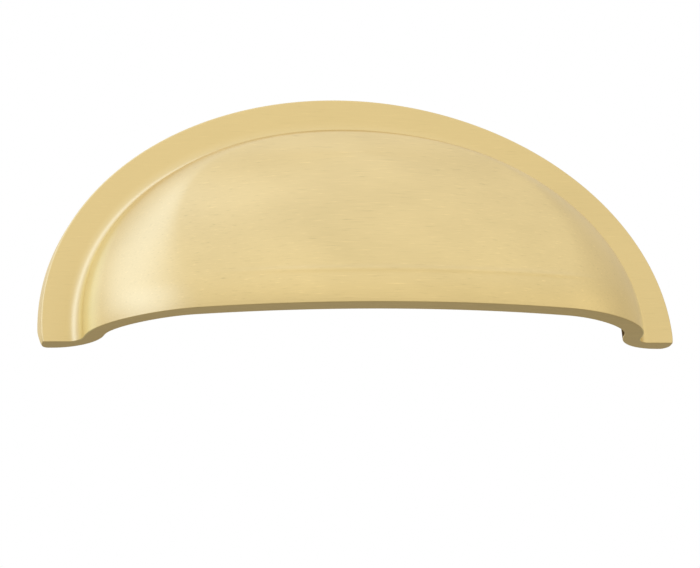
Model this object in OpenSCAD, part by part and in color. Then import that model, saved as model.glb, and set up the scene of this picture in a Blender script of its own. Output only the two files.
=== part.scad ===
// Cup pull for a drawer front: one brass casting, a half-oval shell with a
// flat flange around it. Fingers reach up behind the rim from below. Two
// screws from inside the drawer enter posts cast in the back of the cup.
// The mounting plane is Y = 0 and the pull stands out towards -Y. The origin
// is midway between the two screw holes. All lengths are in millimetres.

/* [Outline] */
// Width across the flange
pull_w = 105; // [98:0.5:116]
// Height of the half oval above its widest line
oval_h = 41; // [38:0.5:45]
// Straight run of the sides between the rim and the widest line
foot_h = 0.7; // [0.4:0.1:2]
// Thickness of the flange
flange_t = 2.8; // [2.4:0.1:3.6]
// Flange width at the sides, from its edge to the wall of the cup
side_flange_w = 6.2; // [5.5:0.1:7.5]
// Flange width at the top
top_flange_w = 5.7; // [5.2:0.1:7.2]
// Radius of the flange's front edge
edge_r = 0.3; // [0.2:0.1:0.9]

/* [Cup] */
// Distance from the mounting plane to the middle of the rim
projection = 21.6; // [20:0.1:24]
// Wall thickness of the cup
shell_t = 3.2; // [2.8:0.1:3.8]
// Radius of the front's crown, seen from above
crown_r = 165; // [140:1:240]
// Height of the rolled band above the rim
band_h = 6; // [4:0.1:8]
// Angle by which the front curls under at the rim, in degrees
curl_a = 6; // [1:1:9]
// Angle by which the front leans back at the top of the band, in degrees
band_a = 13; // [10:1:16]
// Distance from the mounting plane to the front's upper end
top_d = 5.6; // [4.6:0.1:6.4]

/* [Shoulder and cove] */
// Width of the rounded shoulder at the sides of the cup
side_shoulder_w = 16.5; // [13:0.5:20]
// Width of the rounded shoulder at the top of the cup
top_shoulder_w = 1.6; // [1.2:0.1:6]
// Fullness of the shoulder, where 2 is elliptical and more is squarer
shoulder_n = 2.2; // [2:0.05:2.8]
// Width of the cove between the flange and the wall
cove_w = 2.4; // [1.5:0.1:4]
// Height of the cove at the sides
side_cove_h = 2.4; // [0.8:0.1:2.8]
// Height of the cove at the top
top_cove_h = 0.5; // [0.2:0.1:0.8]

/* [Inside of the cup] */
// Width of the rounded inner root at the sides
side_root_w = 7.2; // [5:0.1:8]
// Height of the rounded inner root at the sides
side_root_h = 5.8; // [4:0.1:7]
// Width of the rounded inner root at the top
top_root_w = 4; // [2:0.1:5]
// Height of the rounded inner root at the top
top_root_h = 1.5; // [0.8:0.1:2]
// Width of the inner shoulder at the sides
side_hollow_w = 12.5; // [11:0.5:16]
// Width of the inner shoulder at the top
top_hollow_w = 6; // [4:0.5:10]
// Fullness of the inner shoulder
hollow_n = 2; // [1.6:0.05:2.2]

/* [Screw posts] */
// Distance between the centres of the two screw holes
screw_spacing = 76.2; // [72:0.1:78]
// Height of the screw holes above the rim
screw_h = 12; // [11:0.1:14]
// Diameter of the posts
post_d = 9; // [8:0.1:10]
// Tapping diameter of the screw holes
tap_d = 3.3; // [2.5:0.1:4.2]
// Depth of the screw holes
tap_l = 8; // [6:0.1:8.5]
// Width of the chamfer at the mouth of each hole
mouth_w = 0.4; // [0.2:0.1:0.8]

/* [Hidden] */

// Rays that cross the oval, and the steps along each stretch of a ray. The
// inside has as many steps as the outside
RAYS = 56;
EDGE_STEPS = 2;
COVE_STEPS = 4;
SHOULDER_STEPS = 10;
FACE_STEPS = 7;
ROOT_STEPS = EDGE_STEPS + COVE_STEPS + 2;
POST_SIDES = 40;
$fn = 64;

// How far cuts run past the faces that they open
OVERRUN = 1;
// Point angle of the drill that makes the screw holes
DRILL_TIP_A = 118;

wall_a = pull_w / 2 - side_flange_w;
wall_b = oval_h - top_flange_w;
wall_top = foot_h + wall_b;
ray_end_x = 1.2 * (wall_a - wall_b * wall_b / wall_a);

// The front at the middle of the cup, in heights above the rim: an arc for the
// rolled band, then an arc that starts in line with it and ends at top_d
band_r = band_h / (sin(band_a) + sin(curl_a));
band_d = projection + band_r * (cos(band_a) - cos(curl_a));
face_h = wall_top - band_h;
face_a = 2 * atan((band_d - top_d) / face_h) - band_a;
face_r = face_h / (sin(face_a) - sin(band_a));

function lean(h) = h < band_h
    ? asin(h / band_r - sin(curl_a))
    : asin(min(1, sin(band_a) + (h - band_h) / face_r));
function front_d(h) = h < band_h
    ? projection + band_r * (cos(lean(h)) - cos(curl_a))
    : band_d + face_r * (cos(lean(h)) - cos(band_a));
function crown(x) = crown_r - sqrt(crown_r * crown_r - x * x);

// A value that turns from the sides to the top of the oval
function around(side, top, a) = side * pow(cos(a), 2) + top * pow(sin(a), 2);
// The outer shoulder's width on ray a, which falls off sooner on its way up
function shoulder_w(a) = top_shoulder_w
    + (side_shoulder_w - top_shoulder_w) * pow(cos(a), 4);
// A rounded rise from 0 to 1, upright at its start and level at its end
function rise(t, n) = t >= 1 ? 1 : pow(1 - pow(1 - t, n), 1 / n);

// Rays run from the flange's edge to the wall's oval, and from there, nearly
// square to it, to evenly spaced points on its widest line
function edge_p(a) = [pull_w / 2 * cos(a), foot_h + oval_h * sin(a)];
function wall_p(a) = [wall_a * cos(a), foot_h + wall_b * sin(a)];
function end_p(a) = [ray_end_x * (1 - a / 90), foot_h];
function unit(v) = v / norm(v);
function ray_l(a) = norm(end_p(a) - wall_p(a));
function ray_p(a, s) = wall_p(a)
    + s * (s < 0 ? unit(wall_p(a) - edge_p(a)) : unit(end_p(a) - wall_p(a)));

// Distances from the mounting plane, outside and inside, at a point p of ray a
// that lies s inside the wall's oval
function outer_d(a, s, p) =
    let(foot = flange_t + around(side_cove_h, top_cove_h, a))
    foot + (front_d(p[1]) - crown(p[0]) - foot) * rise(s / shoulder_w(a), shoulder_n);
function inner_d(a, s, p) =
    let(root = around(side_root_h, top_root_h, a))
    let(w = around(side_hollow_w, top_hollow_w, a))
    let(face = front_d(p[1]) - crown(p[0]) - shell_t / cos(lean(p[1])))
    root + (face - root) * rise((s - shell_t) / w, hollow_n);

// A point in the part's frame, from its place p in the oval and its distance d
function solid_p(p, d) = [p[0], -d, p[1] - screw_h];

// The outside along ray a, from the flange's back edge to the end of the ray,
// lowered by drop
function outside(a, drop) =
    let(flange_l = norm(edge_p(a) - wall_p(a)), low = [0, drop])
    let(w = shoulder_w(a))
    let(cove_h = around(side_cove_h, top_cove_h, a))
    concat(
        [solid_p(edge_p(a) - low, 0)],
        [for (k = [0:EDGE_STEPS])
            let(v = 90 * k / EDGE_STEPS)
            let(p = ray_p(a, edge_r * (1 - cos(v)) - flange_l) - low)
            solid_p(p, flange_t - edge_r * (1 - sin(v)))],
        [for (k = [0:COVE_STEPS - 1])
            let(v = 90 * k / COVE_STEPS)
            let(p = ray_p(a, cove_w * (sin(v) - 1)) - low)
            solid_p(p, flange_t + cove_h * (1 - cos(v)))],
        [for (k = [0:SHOULDER_STEPS])
            let(s = w * (1 - cos(90 * k / SHOULDER_STEPS)), p = ray_p(a, s) - low)
            solid_p(p, outer_d(a, s, p))],
        [for (k = [1:FACE_STEPS])
            let(s = w + (ray_l(a) - w) * k / FACE_STEPS, p = ray_p(a, s) - low)
            solid_p(p, outer_d(a, s, p))]
    );

// The inside along ray a, from where its root meets the mounting plane to the
// end of the ray, lowered by drop
function inside(a, drop) =
    let(low = [0, drop], w = around(side_hollow_w, top_hollow_w, a))
    let(root_w = around(side_root_w, top_root_w, a))
    let(root_h = around(side_root_h, top_root_h, a))
    concat(
        [for (k = [0:ROOT_STEPS - 1])
            let(v = 90 * k / ROOT_STEPS)
            let(p = ray_p(a, shell_t - root_w * (1 - sin(v))) - low)
            solid_p(p, root_h * (1 - cos(v)))],
        [for (k = [0:SHOULDER_STEPS])
            let(s = shell_t + w * (1 - cos(90 * k / SHOULDER_STEPS)))
            let(p = ray_p(a, s) - low)
            solid_p(p, inner_d(a, s, p))],
        [for (k = [1:FACE_STEPS])
            let(s = shell_t + w + (ray_l(a) - shell_t - w) * k / FACE_STEPS)
            let(p = ray_p(a, s) - low)
            solid_p(p, inner_d(a, s, p))]
    );

// The shell as one closed skin: an outside and an inside point for each step
// of each ray, and below the widest line a straight foot with a flat rim
module shell() {
    rays = [for (i = [0:RAYS]) 180 * i / RAYS];
    outer = [for (a = rays) each outside(a, 0)];
    inner = [for (a = rays) each inside(a, 0)];
    low_outer = [for (a = rays) each outside(a, foot_h)];
    low_inner = [for (a = rays) each inside(a, foot_h)];
    count = len(outer) / (RAYS + 1);
    last = count - 1;
    // The widest line: along the first ray, past the ends of the rays between,
    // and back along the last ray
    line = concat(
        [for (j = [0:last]) j],
        [for (i = [1:RAYS - 1]) i * count + last],
        [for (j = [last:-1:0]) RAYS * count + j]
    );
    in0 = len(outer);
    rim0 = in0 + len(inner);
    rim_in0 = rim0 + len(line);
    // A quad between two rays is cut along the diagonal that leaves the first
    // and last rays, so the two halves mirror each other
    skin_faces = [for (i = [0:RAYS - 1], j = [0:last - 1])
        let(a = i * count + j, b = a + 1, c = a + count, d = c + 1)
        let(e = in0 + a, f = in0 + b, g = in0 + c, h = in0 + d)
        each i < RAYS / 2
            ? [[a, b, c], [b, d, c], [e, g, f], [f, g, h]]
            : [[a, d, c], [a, b, d], [e, g, h], [e, h, f]]];
    back_faces = [for (i = [0:RAYS - 1])
        let(a = i * count, b = a + count)
        each [[a, b, in0 + a], [b, in0 + b, in0 + a]]];
    foot_faces = [for (k = [0:len(line) - 2])
        let(a = line[k], b = line[k + 1], c = rim0 + k, d = c + 1)
        let(e = in0 + a, f = in0 + b, g = rim_in0 + k, h = g + 1)
        each [[a, c, b], [b, c, d], [e, f, g], [f, h, g], [c, g, d], [d, g, h]]];
    // The flange's two back corners, below the first and last rays
    corner_faces = [for (end = [[0, rim0, rim_in0], [in0 - count, rim_in0 - 1, len(line) + rim_in0 - 1]])
        let(a = end[0], b = in0 + a, c = end[1], d = end[2])
        each a == 0 ? [[a, b, c], [b, d, c]] : [[a, c, b], [b, c, d]]];
    polyhedron(
        points = concat(
            outer, inner, [for (k = line) low_outer[k]], [for (k = line) low_inner[k]]
        ),
        faces = concat(skin_faces, back_faces, foot_faces, corner_faces),
        convexity = 6
    );
}

// The angle of the ray through q, a place in the right half of the oval, found
// by halving the stretch from lo to hi
function ray_through(q, lo = 0, hi = 90) =
    let(a = (lo + hi) / 2)
    hi - lo < 0.01 ? a
    : cross(end_p(a) - wall_p(a), q - wall_p(a)) < 0 ? ray_through(q, a, hi)
    : ray_through(q, lo, a);
// Distance from the mounting plane to the middle of the wall's metal at q
function metal_d(q) =
    let(a = ray_through(q), from_wall = q - wall_p(a))
    let(s = from_wall * unit(end_p(a) - wall_p(a)))
    s < 0 ? flange_t / 2 : outer_d(a, s, q) - shell_t / 2;

// The right-hand post, from the mounting plane into the metal of the wall
module post() {
    ring = [for (i = [0:POST_SIDES - 1])
        let(v = 360 * i / POST_SIDES)
        [screw_spacing / 2 + post_d / 2 * cos(v), screw_h + post_d / 2 * sin(v)]];
    mid = [screw_spacing / 2, screw_h];
    polyhedron(
        points = concat(
            [for (q = ring) solid_p(q, 0)],
            [for (q = ring) solid_p(q, metal_d(q))],
            [solid_p(mid, 0), solid_p(mid, metal_d(mid))]
        ),
        faces = [for (i = [0:POST_SIDES - 1])
            let(j = (i + 1) % POST_SIDES, c = POST_SIDES + i, d = POST_SIDES + j)
            each [[i, c, j], [j, c, d], [i, j, 2 * POST_SIDES], [d, c, 2 * POST_SIDES + 1]]]
    );
}

// The left half's copy of what its children make on the right, and both
module both_sides() {
    children();
    mirror([1, 0, 0])
        children();
}

module screw_hole() {
    translate([screw_spacing / 2, 0, 0])
        rotate([90, 0, 0]) {
            translate([0, 0, -OVERRUN])
                cylinder(d = tap_d, h = tap_l + OVERRUN);
            translate([0, 0, tap_l])
                cylinder(d1 = tap_d, d2 = 0, h = tap_d / 2 / tan(DRILL_TIP_A / 2));
            translate([0, 0, -OVERRUN])
                cylinder(
                    r1 = tap_d / 2 + mouth_w + OVERRUN, r2 = tap_d / 2, h = mouth_w + OVERRUN
                );
        }
}

module cup_pull() {
    color("#DFC993")
        difference() {
            union() {
                shell();
                both_sides()
                    post();
            }
            both_sides()
                screw_hole();
        }
}

cup_pull();
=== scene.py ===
"""A satin brass cup pull in a plain studio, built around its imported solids.

The pull is one casting, drawn by the same curves as its solids and with finer
steps, so that its edges are rounded and its holes are threaded. All lengths
are in metres. X runs along the pull, Y out of its back and Z up, and the
origin is midway between the screw holes on the mounting plane.
"""

from math import asin, atan, cos, pi, radians, sin, sqrt, tan
from types import SimpleNamespace

import bmesh
import bpy
from bpy.props import FloatProperty, FloatVectorProperty, PointerProperty
from mathutils import Matrix, Vector


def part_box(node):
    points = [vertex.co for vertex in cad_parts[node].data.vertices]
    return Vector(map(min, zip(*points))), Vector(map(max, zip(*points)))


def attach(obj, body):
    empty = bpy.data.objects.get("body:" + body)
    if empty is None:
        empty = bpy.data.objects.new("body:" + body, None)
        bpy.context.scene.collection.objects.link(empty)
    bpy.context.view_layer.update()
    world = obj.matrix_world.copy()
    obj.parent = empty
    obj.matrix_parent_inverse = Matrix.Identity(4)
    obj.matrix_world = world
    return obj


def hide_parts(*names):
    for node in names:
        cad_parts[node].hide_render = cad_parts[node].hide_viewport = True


bl_info = {
    "name": "Cup Pull",
    "version": (1, 0, 0),
    "blender": (4, 5, 0),
    "location": "View3D > Sidebar > Cup Pull",
    "description": "Builds a satin brass cup pull and the studio around it",
    "category": "Add Mesh",
}

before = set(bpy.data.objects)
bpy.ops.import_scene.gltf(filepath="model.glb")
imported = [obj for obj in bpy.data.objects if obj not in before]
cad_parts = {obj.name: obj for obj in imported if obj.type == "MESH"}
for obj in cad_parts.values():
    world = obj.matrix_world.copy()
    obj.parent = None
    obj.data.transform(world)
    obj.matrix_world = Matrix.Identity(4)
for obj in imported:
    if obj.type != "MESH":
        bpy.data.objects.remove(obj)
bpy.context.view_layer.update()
CAD_LOW, CAD_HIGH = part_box("cup_pull")

BODY = "root"
MM = 0.001

FOOT_HEIGHT = 0.7 * MM
# The front bulges past the rim by less than this
FRONT_BULGE = 0.1 * MM
# Where the first ray ends, as a share of the way to the centre of the oval's side curve
FIRST_RAY_END = 1.2
# The power by which the outer shoulder's width turns from the sides to the top of the oval
SHOULDER_POWER = 4

# Rays that cross the oval, and the rows of points along each stretch of a ray
RAYS = 240
BACK_ROWS = 3
EDGE_ROWS = 6
COVE_ROWS = 12
SHOULDER_ROWS = 20
FACE_ROWS = 14
SEAT_ROWS = 5
# Places of the rows across a flat stretch, close to its ends to keep it flat
FLAT_ROWS = (0.04, 0.5, 0.96)
SIDE_ROWS = (0.04, 0.18, 0.32, 0.46, 0.6, 0.78, 0.96)
# The inside has as many rows as the outside
OUTER_ROWS = (BACK_ROWS + 1 + len(SIDE_ROWS) + EDGE_ROWS + 1 + len(FLAT_ROWS) + COVE_ROWS
              + SHOULDER_ROWS + 1 + FACE_ROWS)
ROOT_ROWS = OUTER_ROWS - SEAT_ROWS - (SHOULDER_ROWS + 1) - FACE_ROWS
FOOT_ROWS = 3
RIM_ROWS = 5
# The share of the foot's height above its rounded bottom edge
PLAIN_FOOT = 0.75

POST_SIDES = 72
FILLET_ROWS = 6
THREAD_ROWS_PER_TURN = 10
# Widths of an inner thread's flat crest and of its flank, as shares of the pitch
THREAD_CREST = 1 / 4
THREAD_FLANK = 5 / 16

# Places in the casting's list of materials, and in a post's
# The cast slots hold the inside's rough finish, whose dark colour is painted shade
SATIN, CAST_WITH_PAINTED_SHADE, GROUND = 0, 1, 2
POST_CAST_WITH_PAINTED_SHADE, POST_GROUND = 0, 1


def length(name, description, default, least, most):
    """A length that the sidebar offers, given in metres."""
    return FloatProperty(name=name, description=description, default=default,
                         min=least, max=most, unit="LENGTH")


class CupPullShape(bpy.types.PropertyGroup):
    """Sizes of the pull's outline, cup and edges"""

    width: length("Width", "Width across the flange", CAD_HIGH.x - CAD_LOW.x, 0.06, 0.2)
    oval_height: length("Oval Height", "Height of the half oval above its widest line",
                        CAD_HIGH.z - CAD_LOW.z - FOOT_HEIGHT, 0.02, 0.09)
    foot_height: length("Foot Height", "Straight run of the sides below the widest line",
                        FOOT_HEIGHT, 0.4 * MM, 2 * MM)
    flange_thickness: length("Flange Thickness", "Thickness of the flange",
                             2.8 * MM, 2 * MM, 5 * MM)
    side_flange: length("Side Flange", "Width of the flange at the sides", 6.2 * MM, 4 * MM, 9 * MM)
    top_flange: length("Top Flange", "Width of the flange at the top", 5.7 * MM, 4 * MM, 9 * MM)
    edge_radius: length("Edge Radius", "Radius of the flange's front edge",
                        0.25 * MM, 0.1 * MM, 1 * MM)
    back_radius: length("Back Edge Radius", "Radius of the flange's back edge",
                        0.15 * MM, 0.1 * MM, 1 * MM)
    projection: length("Projection", "Distance from the mounting plane to the rim",
                       -CAD_LOW.y - FRONT_BULGE, 15 * MM, 35 * MM)
    wall: length("Wall", "Wall thickness of the cup", 3.2 * MM, 2 * MM, 5 * MM)
    crown_radius: length("Crown Radius", "Radius of the front, seen from above", 165 * MM, 0.1, 0.4)
    band_height: length("Band Height", "Height of the rolled band above the rim",
                        6 * MM, 3 * MM, 10 * MM)
    line_height: length("Line Height", "Height of the faint line above the rim",
                        5.8 * MM, 3 * MM, 10 * MM)
    curl_angle: FloatProperty(
        name="Curl", description="Angle by which the front curls under at the rim",
        default=radians(6), min=radians(1), max=radians(12), subtype="ANGLE")
    band_angle: FloatProperty(
        name="Band Lean", description="Angle by which the front leans at the band's top",
        default=radians(13), min=radians(8), max=radians(20), subtype="ANGLE")
    top_depth: length("Top Depth", "Distance of the front's upper end from the back",
                      5.6 * MM, 3 * MM, 8 * MM)
    rim_radius: length("Rim Radius", "Radius of the edges of the rim and the foot",
                       0.12 * MM, 0.05 * MM, 0.6 * MM)
    corner_radius: length("Corner Radius", "Radius of the worn back edges at their bottom ends",
                          2 * MM, 0.2 * MM, 2.4 * MM)
    corner_inset: length("Corner Inset", "How far the bottom corners are worn in sideways",
                         0.15 * MM, 0, 0.4 * MM)
    corner_height: length("Corner Height", "Height over which the corner radius runs out",
                          3.4 * MM, 1 * MM, 6 * MM)


class CupPullShoulder(bpy.types.PropertyGroup):
    """Sizes of the rounded stretches between the flange and the face"""

    side_width: length("Side Shoulder", "Width of the rounded shoulder at the sides",
                       16.5 * MM, 8 * MM, 24 * MM)
    top_width: length("Top Shoulder", "Width of the rounded shoulder at the top",
                      1.6 * MM, 0.5 * MM, 15 * MM)
    fullness: FloatProperty(
        name="Fullness", description="2 is elliptical and more is squarer",
        default=2.2, min=1.8, max=3)
    cove_width: length("Cove Width", "Width of the cove between flange and wall",
                       2 * MM, 1 * MM, 5 * MM)
    side_cove: length("Side Cove Height", "Height of the cove at the sides",
                      2.4 * MM, 0.5 * MM, 3.5 * MM)
    top_cove: length("Top Cove Height", "Height of the cove at the top", 0.4 * MM, 0.1 * MM, 1 * MM)
    cove_fullness: FloatProperty(
        name="Cove Fullness", description="2 is elliptical and more is tighter in its corner",
        default=2.2, min=1.8, max=5)
    side_root_width: length("Side Root Width", "Width of the inner root at the sides",
                            7.2 * MM, 4 * MM, 9 * MM)
    side_root_height: length("Side Root Height", "Height of the inner root at the sides",
                             5.8 * MM, 3 * MM, 8 * MM)
    top_root_width: length("Top Root Width", "Width of the inner root at the top",
                           4 * MM, 2 * MM, 6 * MM)
    top_root_height: length("Top Root Height", "Height of the inner root at the top",
                            1.5 * MM, 0.5 * MM, 3 * MM)
    side_hollow: length("Side Hollow", "Width of the inner shoulder at the sides",
                        12.5 * MM, 8 * MM, 20 * MM)
    top_hollow: length("Top Hollow", "Width of the inner shoulder at the top",
                       6 * MM, 3 * MM, 12 * MM)
    hollow_fullness: FloatProperty(
        name="Hollow Fullness", description="2 is elliptical and less is flatter",
        default=2, min=1.5, max=3)


class CupPullPosts(bpy.types.PropertyGroup):
    """Sizes of the two screw posts and their threaded holes"""

    spacing: length("Screw Spacing", "Distance between the screw holes", 76.2 * MM, 0.05, 0.1)
    diameter: length("Post Diameter", "Diameter of the posts", 9 * MM, 7 * MM, 12 * MM)
    fillet: length("Post Fillet", "Radius where a post meets the inside", 1 * MM, 0.2 * MM, 2 * MM)
    end_radius: length("Post End Radius", "Radius of the edge of a post's end",
                       0.3 * MM, 0.1 * MM, 1 * MM)
    minor_diameter: length("Minor Diameter", "Diameter inside the thread's crests",
                           3.3 * MM, 2 * MM, 5 * MM)
    major_diameter: length("Major Diameter", "Diameter at the thread's roots",
                           4 * MM, 3 * MM, 6 * MM)
    pitch: length("Thread Pitch", "Distance from one turn of thread to the next",
                  0.7 * MM, 0.4 * MM, 1 * MM)
    hole_depth: length("Hole Depth", "Depth of the full hole", 8 * MM, 5 * MM, 9 * MM)
    mouth: length("Mouth Chamfer", "Width of the chamfer at a hole's mouth",
                  0.4 * MM, 0.1 * MM, 1 * MM)
    drill_point: FloatProperty(
        name="Drill Point", description="Point angle of the drill that made the hole",
        default=radians(118), min=radians(90), max=radians(140), subtype="ANGLE")


class CupPullFinish(bpy.types.PropertyGroup):
    """Colour and texture of the brass"""

    brass: FloatVectorProperty(
        name="Brass", description="Colour of the brass", subtype="COLOR",
        default=(0.740, 0.585, 0.292), size=3, min=0, max=1)
    # A paler colour painted into the cove as a highlight, in place of the light that the cove
    # reflects
    cove_painted_highlight: FloatVectorProperty(
        name="Painted Cove Highlight", description="Paler colour of the cove, which no brush reaches",
        subtype="COLOR", default=(0.88, 0.775, 0.42), size=3, min=0, max=1)
    # The inside's dark colour is painted shade of the hollow; its rough cast finish is real
    cast_brass_with_painted_shade: FloatVectorProperty(
        name="Cast Brass With Painted Shade", description="Colour of the unpolished inside", subtype="COLOR",
        default=(0.2, 0.145, 0.07), size=3, min=0, max=1)
    cast_roughness: FloatProperty(
        name="Cast Roughness", description="Roughness of the unpolished inside",
        default=0.62, min=0, max=1, subtype="FACTOR")
    roughness: FloatProperty(
        name="Roughness", description="Roughness of the satin faces",
        default=0.36, min=0, max=1, subtype="FACTOR")
    brushing: FloatProperty(
        name="Brushing", description="Share of the sheen that follows the brush strokes",
        default=0.4, min=0, max=1, subtype="FACTOR")
    ground_roughness: FloatProperty(
        name="Ground Roughness", description="Roughness of the faces ground flat",
        default=0.3, min=0, max=1, subtype="FACTOR")
    stroke_length: length("Stroke Length", "Length of the brush strokes",
                          3.5 * MM, 0.5 * MM, 20 * MM)
    stroke_width: length("Stroke Width", "Width of the brush strokes", 0.22 * MM, 0.05 * MM, 1 * MM)
    stroke_depth: length("Stroke Depth", "Depth of the brush strokes", 0.004 * MM, 0, 0.05 * MM)
    cup_strokes: FloatProperty(
        name="Cup Strokes", description="How strongly the strokes tint the cup",
        default=0.2, min=0, max=1, subtype="FACTOR")
    flange_strokes: FloatProperty(
        name="Flange Strokes", description="How strongly the strokes tint the flange",
        default=0.09, min=0, max=1, subtype="FACTOR")
    line_depth: length("Band Line", "Height of the faint line at the top of the rolled band",
                       0.11 * MM, 0, 0.5 * MM)


class CupPullStage(bpy.types.PropertyGroup):
    """The studio: where the camera stands, and the lights and floor"""

    azimuth: FloatProperty(
        name="Azimuth", description="Turn of the camera to the pull's right",
        default=radians(-17.0931), subtype="ANGLE")
    elevation: FloatProperty(
        name="Elevation", description="Height of the camera above the pull's level",
        default=radians(-19.6868), subtype="ANGLE")
    roll: FloatProperty(
        name="Roll", description="Turn of the camera about its own line of sight",
        default=radians(5.6647), subtype="ANGLE")
    distance: length("Distance", "Distance from the camera to the pull", 1.25, 0.3, 5)
    view_width: length("View Width", "Width of the picture at the pull's distance",
                       112.0 * MM, 0.05, 1)
    aim_x: FloatProperty(
        name="Aim Sideways", description="How far right of the picture's middle the rim's is",
        default=1.1253 * MM, unit="LENGTH")
    aim_y: FloatProperty(
        name="Aim Upwards", description="How far above the picture's middle the rim's is",
        default=-10.3301 * MM, unit="LENGTH")
    floor_drop: length("Floor Drop", "Distance from the rim down to the floor", 0.75, 0.01, 3)
    floor_tone: FloatVectorProperty(
        name="Floor", description="Colour of the floor", subtype="COLOR",
        default=(0.40, 0.375, 0.31), size=3, min=0, max=1)
    sky: FloatProperty(
        name="Surround", description="Level of the white surround, where 1 is white",
        default=1.0, min=0, max=2)


class Cup:
    """The pull's curves, lowered by a drop. A place in front view is (x, height above the rim).

    Ray a crosses the oval inwards from the angle a, and s is the distance past the wall's foot.
    """

    def __init__(self, shape, shoulder, drop=0.0):
        self.shape = shape
        self.shoulder = shoulder
        self.drop = drop
        self.rim_z = CAD_LOW.z
        self.wall_a = shape.width / 2 - shape.side_flange
        self.wall_b = shape.oval_height - shape.top_flange
        self.ray_end_x = FIRST_RAY_END * (self.wall_a - self.wall_b ** 2 / self.wall_a)
        curl, band = shape.curl_angle, shape.band_angle
        self.band_r = shape.band_height / (sin(band) + sin(curl))
        self.band_d = shape.projection + self.band_r * (cos(band) - cos(curl))
        face_h = shape.foot_height + self.wall_b - shape.band_height
        face_a = 2 * atan((self.band_d - shape.top_depth) / face_h) - band
        self.face_r = face_h / (sin(face_a) - sin(band))

    def lean(self, h):
        """Angle by which the front leans back at a height."""
        if h < self.shape.band_height:
            return asin(h / self.band_r - sin(self.shape.curl_angle))
        rise = (h - self.shape.band_height) / self.face_r
        return asin(min(1, sin(self.shape.band_angle) + rise))

    def front(self, p):
        """Distance of the crowned front from the mounting plane."""
        shape = self.shape
        crown = shape.crown_radius - sqrt(shape.crown_radius ** 2 - p.x ** 2)
        lean = self.lean(p.y)
        if p.y < shape.band_height:
            return shape.projection + self.band_r * (cos(lean) - cos(shape.curl_angle)) - crown
        return self.band_d + self.face_r * (cos(lean) - cos(shape.band_angle)) - crown

    def edge(self, a):
        """The place on the flange's edge where ray a starts."""
        shape = self.shape
        return Vector((shape.width / 2 * cos(a), shape.foot_height + shape.oval_height * sin(a)))

    def wall_line(self, a):
        return Vector((self.wall_a * cos(a), self.shape.foot_height + self.wall_b * sin(a)))

    def ray_end(self, a):
        return Vector((self.ray_end_x * (1 - a / (pi / 2)), self.shape.foot_height))

    def flange_length(self, a):
        return (self.edge(a) - self.wall_line(a)).length

    def ray_length(self, a):
        return (self.ray_end(a) - self.wall_line(a)).length

    def shoulder_width(self, a):
        return around(self.shoulder.side_width, self.shoulder.top_width, a, SHOULDER_POWER)

    def along(self, a, s):
        """The place at s on ray a, where s is negative on the flange."""
        start = self.wall_line(a)
        way = start - self.edge(a) if s < 0 else self.ray_end(a) - start
        return start + s * way.normalized() - Vector((0, self.drop))

    def outer_depth(self, a, s, p):
        shoulder = self.shoulder
        foot = self.shape.flange_thickness + around(shoulder.side_cove, shoulder.top_cove, a)
        rise = rounded_rise(s / self.shoulder_width(a), shoulder.fullness)
        return foot + (self.front(p) - foot) * rise

    def inner_depth(self, a, s, p):
        shoulder, wall = self.shoulder, self.shape.wall
        root_w = around(shoulder.side_root_width, shoulder.top_root_width, a)
        root_h = around(shoulder.side_root_height, shoulder.top_root_height, a)
        if s < wall:
            level = max(0, 1 - (wall - s) / root_w)
            return root_h * (1 - sqrt(1 - level ** 2))
        width = around(shoulder.side_hollow, shoulder.top_hollow, a)
        face = self.front(p) - wall / cos(self.lean(p.y))
        rise = rounded_rise((s - wall) / width, shoulder.hollow_fullness)
        return root_h + (face - root_h) * rise

    def point(self, p, depth):
        return Vector((p.x, -depth, p.y + self.rim_z))

    def outer_rows(self, a):
        """Each row's s on ray a and its depth, or None on the cup, where outer_depth gives it."""
        shape, shoulder = self.shape, self.shoulder
        thick, start = shape.flange_thickness, -self.flange_length(a)
        back, edge = shape.back_radius, shape.edge_radius
        rows = [(start + back * (1 - sin(v)), back * (1 - cos(v)))
                for v in quarter_turn(BACK_ROWS)]
        rows += [(start, back + (thick - edge - back) * t) for t in SIDE_ROWS]
        rows += [(start + edge * (1 - cos(v)), thick - edge * (1 - sin(v)))
                 for v in quarter_turn(EDGE_ROWS)]
        flat_start, flat_end = start + edge, -shoulder.cove_width
        rows += [(flat_start + (flat_end - flat_start) * t, thick) for t in FLAT_ROWS]
        cove_h = around(shoulder.side_cove, shoulder.top_cove, a)
        for v in quarter_turn(COVE_ROWS)[:-1]:
            rise = 1 - rounded_rise(1 - sin(v), shoulder.cove_fullness)
            rows.append((shoulder.cove_width * (sin(v) - 1), thick + cove_h * rise))
        width = self.shoulder_width(a)
        face = [width * (1 - cos(v)) for v in quarter_turn(SHOULDER_ROWS)]
        face += steps(width, self.ray_length(a), FACE_ROWS)
        return rows + [(s, None) for s in face]

    def outer_ray(self, a):
        """The outside along ray a, from the flange's back face to the ray's end."""
        points = []
        for s, depth in self.outer_rows(a):
            p = self.along(a, s)
            points.append(self.point(p, self.outer_depth(a, s, p) if depth is None else depth))
        return points

    def cove_highlight_share(self, a, s):
        """How much of the cove's painted highlight shows at s on ray a: all of it at a side wall's
        foot.
        """
        flange_side = smooth_step(-0.6 * MM, -0.15 * MM, s)
        wall_side = smooth_step(0.12, 0.01, s / self.shoulder_width(a))
        near_sides = smooth_step(0.7, 0.95, abs(cos(a)))
        return flange_side * wall_side * near_sides

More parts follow.
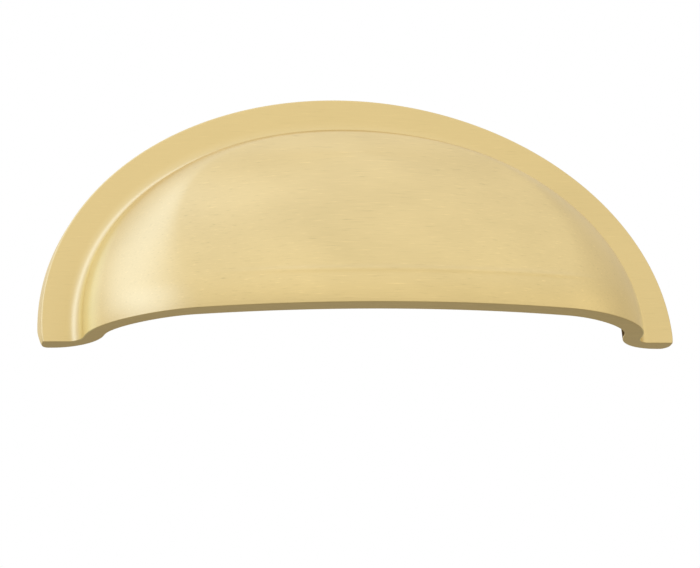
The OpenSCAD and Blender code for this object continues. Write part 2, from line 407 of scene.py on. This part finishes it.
    def inner_ray(self, a):
        """The back face and the inside along ray a, from near its edge to its end."""
        shape, shoulder = self.shape, self.shoulder
        root_w = around(shoulder.side_root_width, shoulder.top_root_width, a)
        seat_start = shape.back_radius - self.flange_length(a)
        seat_end = shape.wall - root_w
        rows = [seat_start + (seat_end - seat_start) * (k + 1) / (SEAT_ROWS + 1)
                for k in range(SEAT_ROWS)]
        rows += [shape.wall - root_w * (1 - sin(v)) for v in quarter_turn(ROOT_ROWS)[:-1]]
        width = around(shoulder.side_hollow, shoulder.top_hollow, a)
        rows += [shape.wall + width * (1 - cos(v)) for v in quarter_turn(SHOULDER_ROWS)]
        rows += steps(shape.wall + width, self.ray_length(a), FACE_ROWS)
        points = []
        for s in rows:
            p = self.along(a, s)
            points.append(self.point(p, self.inner_depth(a, s, p)))
        return points

    def inner_depth_at(self, p):
        """The inside's distance from the mounting plane at a place in the right half."""
        low, high = 0.0, pi / 2
        near_enough = 1e-4
        while high - low > near_enough:
            a = (low + high) / 2
            start, end = self.wall_line(a), self.ray_end(a)
            way, across = end - start, p - start
            if way.x * across.y - way.y * across.x < 0:
                low = a
            else:
                high = a
        start = self.wall_line(low)
        s = (p - start).dot((self.ray_end(low) - start).normalized())
        return self.inner_depth(low, s, p)


def around(side, top, a, power=2):
    """A value that turns from the sides to the top of the oval."""
    return top + (side - top) * abs(cos(a)) ** power


def rounded_rise(t, n):
    """A rise from 0 to 1, upright at its start and level at its end."""
    return 1.0 if t >= 1 else (1 - (1 - t) ** n) ** (1 / n)


def smooth_step(start, end, value):
    t = min(1, max(0, (value - start) / (end - start)))
    return t * t * (3 - 2 * t)


def direction(turn, tilt):
    """A direction from angles to the right of straight in front, and up."""
    return Vector((sin(turn) * cos(tilt), -cos(turn) * cos(tilt), sin(tilt)))


def heading(azimuth, elevation):
    """A direction from the same angles in degrees."""
    return direction(radians(azimuth), radians(elevation))


def quarter_turn(count):
    return [pi / 2 * k / count for k in range(count + 1)]


def steps(start, end, count):
    """Even steps from start to end, without start itself."""
    return [start + (end - start) * k / count for k in range(1, count + 1)]


def rim_line(rays):
    """Along the first ray, past the ends of the rays between, and back along the last."""
    return rays[0] + [ray[-1] for ray in rays[1:-1]] + rays[-1][::-1]


def inward_normals(loop):
    """Level normals that point into a clockwise loop, lengthened at its corners."""
    normals = []
    for i, point in enumerate(loop):
        before = (point - loop[i - 1]).to_2d().normalized()
        after = (loop[(i + 1) % len(loop)] - point).to_2d().normalized()
        n1, n2 = Vector((before.y, -before.x)), Vector((after.y, -after.x))
        normals.append(((n1 + n2) / (1 + n1.dot(n2))).to_3d())
    return normals


def new_piece(name, bm, *materials):
    """A shown mesh object that moves with the pull and takes its slot's finish."""
    mesh = bpy.data.meshes.new(name)
    bmesh.ops.recalc_face_normals(bm, faces=bm.faces)
    bm.to_mesh(mesh)
    bm.free()
    for material in materials:
        mesh.materials.append(material)
    mesh.shade_smooth()
    piece = bpy.data.objects.new(name, mesh)
    bpy.context.scene.collection.objects.link(piece)
    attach(piece, BODY)
    return piece


def add_strip(bm, first, second, material, closed=False):
    """Quads between two rows of vertices, all of one material or with one listed for each."""
    last = len(first) if closed else len(first) - 1
    for i in range(last):
        j = (i + 1) % len(first)
        face = bm.faces.new((first[i], second[i], second[j], first[j]))
        face.material_index = material if isinstance(material, int) else material[i]


def casting_mesh(shape, shoulder):
    """The flange, cup and rim as one closed skin, satin outside and cast inside, with painted shade
    on the inside.
    """
    cup = Cup(shape, shoulder)
    low_cup = Cup(shape, shoulder, drop=shape.foot_height)
    angles = [pi * i / RAYS for i in range(RAYS + 1)]
    bm = bmesh.new()
    cove = bm.verts.layers.float.new("cove")
    outer = [[bm.verts.new(p) for p in cup.outer_ray(a)] for a in angles]
    # Each outer vertex keeps its share of the cove's painted highlight
    for a, ray in zip(angles, outer):
        for vert, (s, _) in zip(ray, cup.outer_rows(a)):
            vert[cove] = cup.cove_highlight_share(a, s)
    inner = [[bm.verts.new(p) for p in cup.inner_ray(a)] for a in angles]
    for i in range(RAYS):
        add_strip(bm, outer[i], outer[i + 1], SATIN)
        seat, next_seat = [[outer[k][0]] + inner[k][:SEAT_ROWS + 1] for k in (i, i + 1)]
        add_strip(bm, seat, next_seat, GROUND)
        add_strip(bm, inner[i][SEAT_ROWS:], inner[i + 1][SEAT_ROWS:], CAST_WITH_PAINTED_SHADE)
    add_rim(bm, shape, rim_line(outer), rim_line(inner),
            rim_line([low_cup.outer_ray(a) for a in angles]),
            rim_line([low_cup.inner_ray(a) for a in angles]))
    return bm


def add_rim(bm, shape, outer, inner, low_outer, low_inner):
    """The foot below the widest line: rounded edges and a flat bottom face."""
    top = outer + inner[::-1]
    low = low_outer + low_inner[::-1]
    cove = bm.verts.layers.float["cove"]
    rings = [top]

    def add_ring(places, material):
        """A ring of vertices below the last one, with the skin between the two."""
        rings.append([bm.verts.new(place) for place in places])
        # The foot keeps the painted cove highlight of the point above it
        for vert, source in zip(rings[-1], top):
            vert[cove] = source[cove]
        add_strip(bm, rings[-2], rings[-1], material, closed=True)

    seat = [GROUND] * (SEAT_ROWS + 1)
    sides = [SATIN] * (len(outer) - 1) + seat + [CAST_WITH_PAINTED_SHADE] * (len(inner) + 1 - 2 * len(seat)) + seat
    for fall in steps(0, PLAIN_FOOT, FOOT_ROWS):
        add_ring([vert.co.lerp(end, fall) for vert, end in zip(top, low)], sides)
    normals = inward_normals(low)
    for v in quarter_turn(RIM_ROWS):
        fall = 1 - shape.rim_radius * (1 - sin(v)) / shape.foot_height
        inset = shape.rim_radius * (1 - cos(v))
        add_ring([vert.co.lerp(end, fall) + normal * inset
                  for vert, end, normal in zip(top, low, normals)], SATIN)
    wear_corners(bm, shape)
    outer_edge, inner_edge = rings[-1][:len(outer)], rings[-1][len(outer):][::-1]
    rows = [outer_edge]
    for t in FLAT_ROWS:
        rows.append([bm.verts.new(a.co.lerp(b.co, t)) for a, b in zip(outer_edge, inner_edge)])
    rows.append(inner_edge)
    for row, following in zip(rows, rows[1:]):
        add_strip(bm, row, following, SATIN)
    # The short edges at the flange's two back corners
    for end in (0, -1):
        bm.faces.new([row[end] for row in rows])


def wear_corners(bm, shape):
    """Rounds the flange's back edges towards their bottom ends, and wears those in sideways."""
    # The radius runs out with height by this power
    radius_power = 1.3
    # The inset fades over these distances, which stay above zero when there is no inset
    inset_height = 8 * shape.corner_inset + 0.1 * MM
    inset_width = 10 * shape.corner_inset + 0.1 * MM
    for vert in bm.verts:
        height = vert.co.z - CAD_LOW.z
        side = 1 if vert.co.x > 0 else -1
        radius = shape.corner_radius * (1 - min(1, height / shape.corner_height)) ** radius_power
        centre = Vector((side * (shape.width / 2 - radius), -radius, vert.co.z))
        arm = vert.co - centre
        if side * arm.x > 0 and arm.y > 0 and arm.length > radius:
            vert.co = centre + arm.normalized() * radius
        low = max(0, 1 - height / inset_height)
        near = max(0, 1 - (shape.width / 2 - abs(vert.co.x)) / inset_width)
        vert.co.x -= side * shape.corner_inset * low ** 2 * near


def thread_radius(posts, depth, turn):
    """The hole's radius at a depth, where turn is the share of a circle round it."""
    crest, root = posts.minor_diameter / 2, posts.major_diameter / 2
    phase = (depth / posts.pitch - turn) % 1
    from_crest = 0.5 - abs(phase - 0.5)
    height = min(1, max(0, (from_crest - THREAD_CREST / 2) / THREAD_FLANK))
    # The thread starts at the mouth and stops half a turn before the hole's end
    fade_in = (depth - posts.mouth) / posts.pitch
    fade_out = (posts.hole_depth - depth) / posts.pitch - 0.5
    return crest + (root - crest) * height * min(1, max(0, min(fade_in, fade_out)))


def post_mesh(shape, shoulder, posts, side):
    """A screw post with its threaded hole, from inside the wall to the hole's end."""
    cup = Cup(shape, shoulder)
    centre = Vector((posts.spacing / 2, -CAD_LOW.z))
    radius, fillet, end = posts.diameter / 2, posts.fillet, posts.end_radius
    turns = [k / POST_SIDES for k in range(POST_SIDES)]
    bm = bmesh.new()

    def spot_at(r, turn):
        return centre + r * Vector((cos(2 * pi * turn), sin(2 * pi * turn)))

    def inside_at(r, turn):
        return cup.inner_depth_at(spot_at(r, turn))

    def ring(place):
        """A ring of vertices, with place giving radius and depth at a share of a turn."""
        verts = []
        for turn in turns:
            r, depth = place(turn)
            spot = spot_at(r, turn)
            verts.append(bm.verts.new((side * spot.x, -depth, spot.y + CAD_LOW.z)))
        return verts

    # The post starts inside the wall
    buried = shape.wall / 3
    rings = [ring(lambda turn: (radius + fillet, inside_at(radius + fillet, turn) + buried))]
    for v in reversed(quarter_turn(FILLET_ROWS)):
        r = radius + fillet * (1 - cos(v))
        rings.append(ring(lambda turn: (r, max(end, inside_at(r, turn) - fillet * (1 - sin(v))))))
    for v in quarter_turn(FILLET_ROWS // 2):
        rings.append(ring(lambda turn: (radius - end * (1 - cos(v)), end * (1 - sin(v)))))
    mouth_r = posts.minor_diameter / 2 + posts.mouth
    end_face = range(len(rings) - 1, len(rings) + len(FLAT_ROWS))
    for t in FLAT_ROWS:
        r = (radius - end) + (mouth_r - radius + end) * t
        rings.append(ring(lambda turn: (r, 0)))
    rings.append(ring(lambda turn: (mouth_r, 0)))
    rows = round((posts.hole_depth - posts.mouth) / posts.pitch * THREAD_ROWS_PER_TURN)
    for k in range(rows + 1):
        depth = posts.mouth + (posts.hole_depth - posts.mouth) * k / rows
        rings.append(ring(lambda turn: (thread_radius(posts, depth, turn), depth)))
    for k, (first, second) in enumerate(zip(rings, rings[1:])):
        add_strip(bm, first, second, POST_GROUND if k in end_face else POST_CAST_WITH_PAINTED_SHADE, closed=True)
    tip = posts.hole_depth + posts.minor_diameter / 2 / tan(posts.drill_point / 2)
    deep = sum(v.co.y for v in rings[0]) / POST_SIDES
    for base, y in ((rings[0], deep), (rings[-1], -tip)):
        peak = bm.verts.new((side * centre.x, y, 0))
        for i, vert in enumerate(base):
            bm.faces.new((vert, base[i - 1], peak))
    return bm


# The cloudy patches under the brush strokes: about how many cross a metre, and their stretch
PATCH_SCALE = 110
PATCH_STRETCH = (0.6, 1, 1)
# The cube of the strokes' noise is small, so it is multiplied by this
STROKE_GAIN = 36
# The strokes' strength turns from the flange's to the cup's between these places in Y
FLANGE_Y, CUP_Y = -3 * MM, -6 * MM
# Places in X where the faint line is gone and where it is whole, for its left and right ends
LINE_ENDS = ((-30 * MM, -12 * MM), (38 * MM, 28 * MM))
LINE_WIDTH = 0.5 * MM


def new_material(name):
    """A material whose node tree holds only its shader and its output."""
    material = bpy.data.materials.new(name)
    material.use_nodes = True
    nodes = material.node_tree.nodes
    nodes.clear()
    shader = nodes.new("ShaderNodeBsdfPrincipled")
    output = nodes.new("ShaderNodeOutputMaterial")
    material.node_tree.links.new(shader.outputs[0], output.inputs["Surface"])
    return material, shader, output


def noise(tree, vector, scale, detail, stretch=(1, 1, 1)):
    """Noise over a stretched vector, as the node's value output."""
    mapping = tree.nodes.new("ShaderNodeMapping")
    mapping.inputs["Scale"].default_value = stretch
    texture = tree.nodes.new("ShaderNodeTexNoise")
    texture.inputs["Scale"].default_value = scale
    texture.inputs["Detail"].default_value = detail
    tree.links.new(vector, mapping.inputs["Vector"])
    tree.links.new(mapping.outputs["Vector"], texture.inputs["Vector"])
    return texture.outputs["Fac"]


def math_node(tree, operation, first, second=0.0):
    """A Math node over sockets or plain numbers, as its output."""
    node = tree.nodes.new("ShaderNodeMath")
    node.operation = operation
    for socket, value in zip(node.inputs, (first, second)):
        if isinstance(value, bpy.types.NodeSocket):
            tree.links.new(value, socket)
        else:
            socket.default_value = value
    return node.outputs[0]


def scaled_colour(tree, colour, factor, target):
    """Feeds a plain colour times a factor's socket to a target socket."""
    scaled = tree.nodes.new("ShaderNodeVectorMath")
    scaled.operation = "SCALE"
    scaled.inputs[0].default_value = colour
    tree.links.new(factor, scaled.inputs["Scale"])
    tree.links.new(scaled.outputs[0], target)
    return scaled


def new_group(name, inputs, outputs):
    """A node group, with the sockets that give its inputs and take its outputs inside it."""
    group = bpy.data.node_groups.new(name, "ShaderNodeTree")
    for label, kind, default in inputs:
        socket = group.interface.new_socket(label, in_out="INPUT", socket_type=kind)
        if default is not None:
            socket.default_value = default
    for label in outputs:
        group.interface.new_socket(label, in_out="OUTPUT", socket_type="NodeSocketFloat")
    given = group.nodes.new("NodeGroupInput").outputs
    result = group.nodes.new("NodeGroupOutput").inputs
    return group, given, result


def brushed_group():
    """Brush strokes along X: their height, and how the tone and sheen change with them."""
    name = "Brush Strokes"
    if name in bpy.data.node_groups:
        return bpy.data.node_groups[name]
    group, given, result = new_group(
        name,
        (("Vector", "NodeSocketVector", None),
         ("Stroke Length", "NodeSocketFloat", 0.004),
         ("Stroke Width", "NodeSocketFloat", 0.0002),
         ("Tone Change", "NodeSocketFloat", 0.02),
         ("Roughness", "NodeSocketFloat", 0.4),
         ("Roughness Change", "NodeSocketFloat", 0.05)),
        ("Height", "Tone", "Roughness"))
    stretch = group.nodes.new("ShaderNodeCombineXYZ")
    group.links.new(math_node(group, "DIVIDE", 1, given["Stroke Length"]), stretch.inputs["X"])
    across = math_node(group, "DIVIDE", 1, given["Stroke Width"])
    group.links.new(across, stretch.inputs["Y"])
    group.links.new(across, stretch.inputs["Z"])
    scaled = group.nodes.new("ShaderNodeVectorMath")
    scaled.operation = "MULTIPLY"
    group.links.new(given["Vector"], scaled.inputs[0])
    group.links.new(stretch.outputs[0], scaled.inputs[1])
    strokes = noise(group, scaled.outputs[0], scale=1, detail=2)
    patches = noise(group, given["Vector"], PATCH_SCALE, detail=3, stretch=PATCH_STRETCH)
    # A cube leaves only the strongest strokes, so that they lie apart
    centred = math_node(group, "SUBTRACT", strokes, 0.5)
    square = math_node(group, "MULTIPLY", centred, centred)
    cube = math_node(group, "MULTIPLY", square, centred)
    sparse = math_node(group, "MULTIPLY", cube, STROKE_GAIN)
    group.links.new(sparse, result["Height"])
    cloud = math_node(group, "SUBTRACT", patches, 0.5)
    both = math_node(group, "ADD", sparse, cloud)
    tone = math_node(group, "MULTIPLY", both, given["Tone Change"])
    group.links.new(math_node(group, "ADD", 1, tone), result["Tone"])
    change = math_node(group, "MULTIPLY", both, given["Roughness Change"])
    group.links.new(math_node(group, "ADD", given["Roughness"], change), result["Roughness"])
    return group


def band_line_group():
    """A faint ridge along X at a place in Z, which fades at both ends."""
    name = "Band Line"
    if name in bpy.data.node_groups:
        return bpy.data.node_groups[name]
    group, given, result = new_group(
        name,
        (("Vector", "NodeSocketVector", None),
         ("Place", "NodeSocketFloat", 0.0),
         ("Depth", "NodeSocketFloat", 0.0)),
        ("Height",))
    split = group.nodes.new("ShaderNodeSeparateXYZ")
    group.links.new(given["Vector"], split.inputs[0])
    above = math_node(group, "SUBTRACT", split.outputs["Z"], given["Place"])
    offset = math_node(group, "DIVIDE", above, LINE_WIDTH)
    square = math_node(group, "MULTIPLY", offset, offset)
    ridge = math_node(group, "EXPONENT", math_node(group, "MULTIPLY", square, -1))
    height = math_node(group, "MULTIPLY", ridge, given["Depth"])
    for gone, whole in LINE_ENDS:
        fade = group.nodes.new("ShaderNodeMapRange")
        fade.interpolation_type = "SMOOTHSTEP"
        fade.inputs["From Min"].default_value = gone
        fade.inputs["From Max"].default_value = whole
        group.links.new(split.outputs["X"], fade.inputs["Value"])
        height = math_node(group, "MULTIPLY", height, fade.outputs["Result"])
    group.links.new(height, result["Height"])
    return group


def brushed_brass(name, finish, colour, roughness, stroke_length, stroke_width, stroke_depth,
                  tone):
    """Brass with strokes of a size and strength, and the nodes that a finish may add to."""
    material, shader, _ = new_material(name)
    tree = material.node_tree
    place = tree.nodes.new("ShaderNodeTexCoord").outputs["Object"]
    strokes = tree.nodes.new("ShaderNodeGroup")
    strokes.node_tree = brushed_group()
    strokes.inputs["Stroke Length"].default_value = stroke_length
    strokes.inputs["Stroke Width"].default_value = stroke_width
    strokes.inputs["Tone Change"].default_value = tone
    strokes.inputs["Roughness"].default_value = roughness
    tree.links.new(place, strokes.inputs["Vector"])
    tint = scaled_colour(tree, colour, strokes.outputs["Tone"], shader.inputs["Base Color"])
    tree.links.new(strokes.outputs["Roughness"], shader.inputs["Roughness"])
    shader.inputs["Metallic"].default_value = 1
    shader.inputs["Anisotropic"].default_value = finish.brushing
    bump = tree.nodes.new("ShaderNodeBump")
    bump.inputs["Distance"].default_value = stroke_depth
    tree.links.new(strokes.outputs["Height"], bump.inputs["Height"])
    tree.links.new(bump.outputs["Normal"], shader.inputs["Normal"])
    return SimpleNamespace(material=material, tree=tree, shader=shader, place=place,
                           strokes=strokes, tint=tint, bump=bump)


def satin_brass(finish, shape):
    """The outside: long brush strokes, a painted highlight in the cove and a faint line across the
    front.
    """
    brass = brushed_brass("Satin brass", finish, finish.brass, finish.roughness,
                          finish.stroke_length, finish.stroke_width, finish.stroke_depth,
                          tone=finish.cup_strokes)
    calm_flange(brass, finish)
    add_painted_cove_highlight(brass, finish)
    add_band_line(brass, finish, CAD_LOW.z + shape.line_height)
    return brass.material


def calm_flange(brass, finish):
    """Weakens the strokes on the flange, which was brushed less than the cup."""
    split = brass.tree.nodes.new("ShaderNodeSeparateXYZ")
    strength = brass.tree.nodes.new("ShaderNodeMapRange")
    strength.inputs["From Min"].default_value = FLANGE_Y
    strength.inputs["From Max"].default_value = CUP_Y
    strength.inputs["To Min"].default_value = finish.flange_strokes
    strength.inputs["To Max"].default_value = finish.cup_strokes
    brass.tree.links.new(brass.place, split.inputs[0])
    brass.tree.links.new(split.outputs["Y"], strength.inputs["Value"])
    brass.tree.links.new(strength.outputs["Result"], brass.strokes.inputs["Tone Change"])


def add_painted_cove_highlight(brass, finish):
    """Paints a highlight into the cove: turns the brass paler where the casting's own cove values
    say.
    """
    cove_highlight = brass.tree.nodes.new("ShaderNodeAttribute")
    cove_highlight.attribute_name = "cove"
    highlighted = brass.tree.nodes.new("ShaderNodeMix")
    highlighted.data_type = "RGBA"
    highlighted.inputs["A"].default_value = (*finish.brass, 1)
    highlighted.inputs["B"].default_value = (*finish.cove_painted_highlight, 1)
    brass.tree.links.new(cove_highlight.outputs["Fac"], highlighted.inputs["Factor"])
    brass.tree.links.new(highlighted.outputs["Result"], brass.tint.inputs[0])


def add_band_line(brass, finish, height):
    """Raises the faint line at a height in Z over the bumps of the strokes."""
    line = brass.tree.nodes.new("ShaderNodeGroup")
    line.node_tree = band_line_group()
    line.inputs["Place"].default_value = height
    line.inputs["Depth"].default_value = finish.line_depth
    brass.tree.links.new(brass.place, line.inputs["Vector"])
    bump = brass.tree.nodes.new("ShaderNodeBump")
    bump.inputs["Distance"].default_value = 1
    brass.tree.links.new(line.outputs["Height"], bump.inputs["Height"])
    brass.tree.links.new(brass.bump.outputs["Normal"], bump.inputs["Normal"])
    brass.tree.links.new(bump.outputs["Normal"], brass.shader.inputs["Normal"])


def cast_brass_with_painted_shade(finish):
    """The inside as it left the mould, pebbled, and darkened with painted shade of the hollow."""
    brass = brushed_brass("Cast brass with painted shade", finish, finish.cast_brass_with_painted_shade, finish.cast_roughness,
                          stroke_length=0.6 * MM, stroke_width=0.5 * MM,
                          stroke_depth=5 * finish.stroke_depth, tone=0.3)
    # A dark specular tint paints shade into the inside's reflections as well
    brass.shader.inputs["Specular Tint"].default_value = (*finish.cast_brass_with_painted_shade, 1)
    return brass.material


def ground_brass(finish):
    """The faces that were ground flat to lie against the drawer front."""
    brass = brushed_brass("Ground brass", finish, finish.brass, finish.ground_roughness,
                          stroke_length=12 * MM, stroke_width=0.1 * MM,
                          stroke_depth=1.5 * finish.stroke_depth, tone=0.2)
    return brass.material


def floor_material(stage):
    """A matte studio floor that is clear from below, so that it hides nothing."""
    material, shader, output = new_material("Studio floor")
    tree = material.node_tree
    place = tree.nodes.new("ShaderNodeTexCoord").outputs["Object"]
    mottle = math_node(tree, "SUBTRACT", noise(tree, place, scale=3, detail=3), 0.5)
    tone = math_node(tree, "ADD", 1, math_node(tree, "MULTIPLY", mottle, 0.04))
    scaled_colour(tree, stage.floor_tone, tone, shader.inputs["Base Color"])
    shader.inputs["Roughness"].default_value = 0.9
    shader.inputs["Specular IOR Level"].default_value = 0.1
    geometry = tree.nodes.new("ShaderNodeNewGeometry")
    clear = tree.nodes.new("ShaderNodeBsdfTransparent")
    mix = tree.nodes.new("ShaderNodeMixShader")
    tree.links.new(geometry.outputs["Backfacing"], mix.inputs["Fac"])
    tree.links.new(shader.outputs[0], mix.inputs[1])
    tree.links.new(clear.outputs[0], mix.inputs[2])
    tree.links.new(mix.outputs[0], output.inputs["Surface"])
    return material


class CUPPULL_OT_casting(bpy.types.Operator):
    """Build the flange, the cup and the rim as one closed skin"""

    bl_idname = "cup_pull.casting"
    bl_label = "Casting"

    def execute(self, context):
        scene = context.scene
        finish, shape = scene.cup_pull_finish, scene.cup_pull_shape
        bm = casting_mesh(shape, scene.cup_pull_shoulder)
        casting = new_piece("casting", bm, satin_brass(finish, shape), cast_brass_with_painted_shade(finish),
                            ground_brass(finish))
        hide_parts("cup_pull")
        return {"FINISHED"}


class CUPPULL_OT_posts(bpy.types.Operator):
    """Build the two screw posts and cut the threads in their holes"""

    bl_idname = "cup_pull.posts"
    bl_label = "Screw Posts"

    def execute(self, context):
        scene = context.scene
        finish = scene.cup_pull_finish
        materials = cast_brass_with_painted_shade(finish), ground_brass(finish)
        for name, side in (("screw_post_right", 1), ("screw_post_left", -1)):
            bm = post_mesh(scene.cup_pull_shape, scene.cup_pull_shoulder,
                           scene.cup_pull_posts, side)
            post = new_piece(name, bm, *materials)
            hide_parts("cup_pull")
        return {"FINISHED"}


class CUPPULL_OT_stage(bpy.types.Operator):
    """Set the floor, the white surround, the lamps and the camera"""

    bl_idname = "cup_pull.stage"
    bl_label = "Studio"

    def execute(self, context):
        stage = context.scene.cup_pull_stage
        add_floor(stage)
        add_surround(stage)
        add_lamps()
        add_camera(stage)
        context.scene.view_settings.view_transform = "Standard"
        return {"FINISHED"}


def add_floor(stage):
    bm = bmesh.new()
    bmesh.ops.create_grid(bm, x_segments=8, y_segments=8, size=8)
    mesh = bpy.data.meshes.new("studio_floor")
    bm.to_mesh(mesh)
    bm.free()
    mesh.materials.append(floor_material(stage))
    floor = bpy.data.objects.new("studio_floor", mesh)
    floor.location.z = CAD_LOW.z - stage.floor_drop
    bpy.context.scene.collection.objects.link(floor)


# The surround's light by the sine of the direction's height, where 1 is white
SKY_RAMP = (
    (-0.2, (0.70, 0.68, 0.62)),
    (0.1, (0.93, 0.90, 0.80)),
    (0.34, (0.985, 0.955, 0.845)),
    (0.5, (1.01, 0.99, 0.93)),
    (0.7, (1.09, 1.09, 1.06)),
    (0.87, (1.03, 1.03, 1.03)),
    (1.0, (1.07, 1.07, 1.07)),
)
SKY_PEAK = 1.1
# The surround is shaded round this direction, fully within one angle and not past the other
SHADE_HEADING = (106, 26)
SHADE_ANGLES = (14, 48)
SHADE_COLOUR = (0.80, 0.785, 0.77, 1)


def add_surround(stage):
    """A surround that is plain white to the camera and shaded from below to the rest."""
    world = bpy.data.worlds.new("White surround")
    world.use_nodes = True
    tree = world.node_tree
    tree.nodes.clear()
    place = tree.nodes.new("ShaderNodeTexCoord")
    split = tree.nodes.new("ShaderNodeSeparateXYZ")
    tree.links.new(place.outputs["Generated"], split.inputs[0])
    half = math_node(tree, "MULTIPLY", split.outputs["Z"], 0.5)
    ramp = tree.nodes.new("ShaderNodeValToRGB")
    while len(ramp.color_ramp.elements) < len(SKY_RAMP):
        ramp.color_ramp.elements.new(1)
    for element, (height, colour) in zip(ramp.color_ramp.elements, SKY_RAMP):
        element.position = height / 2 + 0.5
        element.color = [level / SKY_PEAK for level in colour] + [1]
    tree.links.new(math_node(tree, "ADD", half, 0.5), ramp.inputs["Fac"])
    towards = tree.nodes.new("ShaderNodeVectorMath")
    towards.operation = "DOT_PRODUCT"
    tree.links.new(place.outputs["Generated"], towards.inputs[0])
    towards.inputs[1].default_value = heading(*SHADE_HEADING)
    near = tree.nodes.new("ShaderNodeMapRange")
    near.interpolation_type = "SMOOTHSTEP"
    near.inputs["From Min"].default_value = cos(radians(SHADE_ANGLES[1]))
    near.inputs["From Max"].default_value = cos(radians(SHADE_ANGLES[0]))
    tree.links.new(towards.outputs["Value"], near.inputs["Value"])
    tinted = tree.nodes.new("ShaderNodeMix")
    tinted.data_type, tinted.blend_type = "RGBA", "MULTIPLY"
    tree.links.new(near.outputs["Result"], tinted.inputs["Factor"])
    tree.links.new(ramp.outputs["Color"], tinted.inputs["A"])
    tinted.inputs["B"].default_value = SHADE_COLOUR
    shaded = tree.nodes.new("ShaderNodeBackground")
    shaded.inputs["Strength"].default_value = SKY_PEAK * stage.sky
    tree.links.new(tinted.outputs["Result"], shaded.inputs["Color"])
    white = tree.nodes.new("ShaderNodeBackground")
    white.inputs["Color"].default_value = (1, 1, 1, 1)
    white.inputs["Strength"].default_value = 1
    path = tree.nodes.new("ShaderNodeLightPath")
    mix = tree.nodes.new("ShaderNodeMixShader")
    output = tree.nodes.new("ShaderNodeOutputWorld")
    tree.links.new(path.outputs["Is Camera Ray"], mix.inputs["Fac"])
    tree.links.new(shaded.outputs[0], mix.inputs[1])
    tree.links.new(white.outputs[0], mix.inputs[2])
    tree.links.new(mix.outputs[0], output.inputs["Surface"])
    bpy.context.scene.world = world


def add_lamp(name, way, distance, size, power, colour):
    """A soft lamp that faces the pull from some way, unseen by the camera."""
    light = bpy.data.lights.new(name, "AREA")
    light.shape = "RECTANGLE"
    light.size, light.size_y = size
    light.energy = power
    light.color = colour
    lamp = bpy.data.objects.new(name, light)
    lamp.location = way * distance
    lamp.rotation_mode = "QUATERNION"
    lamp.rotation_quaternion = way.to_track_quat("Z", "Y")
    lamp.visible_camera = False
    bpy.context.scene.collection.objects.link(lamp)


def add_lamps():
    """Cool softboxes on the left, against the yellow of the brass, and two weak warm fills."""
    cool = (0.3, 0.46, 1)
    add_lamp("Left softbox", heading(-66, 52), distance=1.2, size=(0.62, 1.5), power=2,
             colour=cool)
    add_lamp("Left wash", heading(-66, 52), distance=1.25, size=(1.05, 1.8), power=2.3,
             colour=cool)
    add_lamp("Far left softbox", heading(-110, 36), distance=1.2, size=(0.4, 0.8), power=0.22,
             colour=cool)
    add_lamp("Low softbox", heading(-45, 16), distance=0.9, size=(0.5, 0.42), power=0.85,
             colour=cool)
    add_lamp("Front fill", heading(5, 22), distance=0.35, size=(0.16, 0.16), power=0.009,
             colour=(1, 0.96, 0.85))
    add_lamp("Right fill", heading(52, 10), distance=1, size=(0.5, 0.3), power=0.12,
             colour=(1, 0.95, 0.8))


def add_camera(stage):
    """The camera: its place and turn follow from where the photograph was taken."""
    turn, roll = stage.azimuth, stage.roll
    back = direction(turn, stage.elevation)
    level = Vector((cos(turn), sin(turn), 0))
    upright = back.cross(level)
    right = cos(roll) * level - sin(roll) * upright
    up = sin(roll) * level + cos(roll) * upright
    rim_middle = Vector((0, 0, CAD_LOW.z))
    place = rim_middle - stage.aim_x * right - stage.aim_y * up + stage.distance * back
    camera = bpy.data.objects.new("Camera", bpy.data.cameras.new("Camera"))
    turned = Matrix((right, up, back)).transposed().to_4x4()
    camera.matrix_world = Matrix.Translation(place) @ turned
    camera.data.sensor_width = 36
    camera.data.lens = stage.distance / stage.view_width * camera.data.sensor_width
    camera.data.clip_start, camera.data.clip_end = 0.01, 50
    bpy.context.scene.collection.objects.link(camera)
    bpy.context.scene.camera = camera


class CUPPULL_PT_panel(bpy.types.Panel):
    """The pull's pieces and sizes in the sidebar"""

    bl_idname = "CUPPULL_PT_panel"
    bl_label = "Cup Pull"
    bl_space_type = "VIEW_3D"
    bl_region_type = "UI"
    bl_category = "Cup Pull"

    def draw(self, context):
        for operator in OPERATORS:
            self.layout.operator(operator.bl_idname)
        for group, _ in GROUPS:
            settings = getattr(context.scene, group)
            box = self.layout.box()
            for name in settings.bl_rna.properties.keys():
                if name not in ("rna_type", "name"):
                    box.prop(settings, name)


GROUPS = (
    ("cup_pull_shape", CupPullShape),
    ("cup_pull_shoulder", CupPullShoulder),
    ("cup_pull_posts", CupPullPosts),
    ("cup_pull_finish", CupPullFinish),
    ("cup_pull_stage", CupPullStage),
)
OPERATORS = (CUPPULL_OT_casting, CUPPULL_OT_posts, CUPPULL_OT_stage)


def register():
    for name, group in GROUPS:
        bpy.utils.register_class(group)
        setattr(bpy.types.Scene, name, PointerProperty(type=group))
    for operator in OPERATORS:
        bpy.utils.register_class(operator)
    bpy.utils.register_class(CUPPULL_PT_panel)


def unregister():
    bpy.utils.unregister_class(CUPPULL_PT_panel)
    for operator in reversed(OPERATORS):
        bpy.utils.unregister_class(operator)
    for name, group in reversed(GROUPS):
        delattr(bpy.types.Scene, name)
        bpy.utils.unregister_class(group)


def main():
    register()
    bpy.ops.cup_pull.casting()
    bpy.ops.cup_pull.posts()
    bpy.ops.cup_pull.stage()


if __name__ == "__main__":
    main()
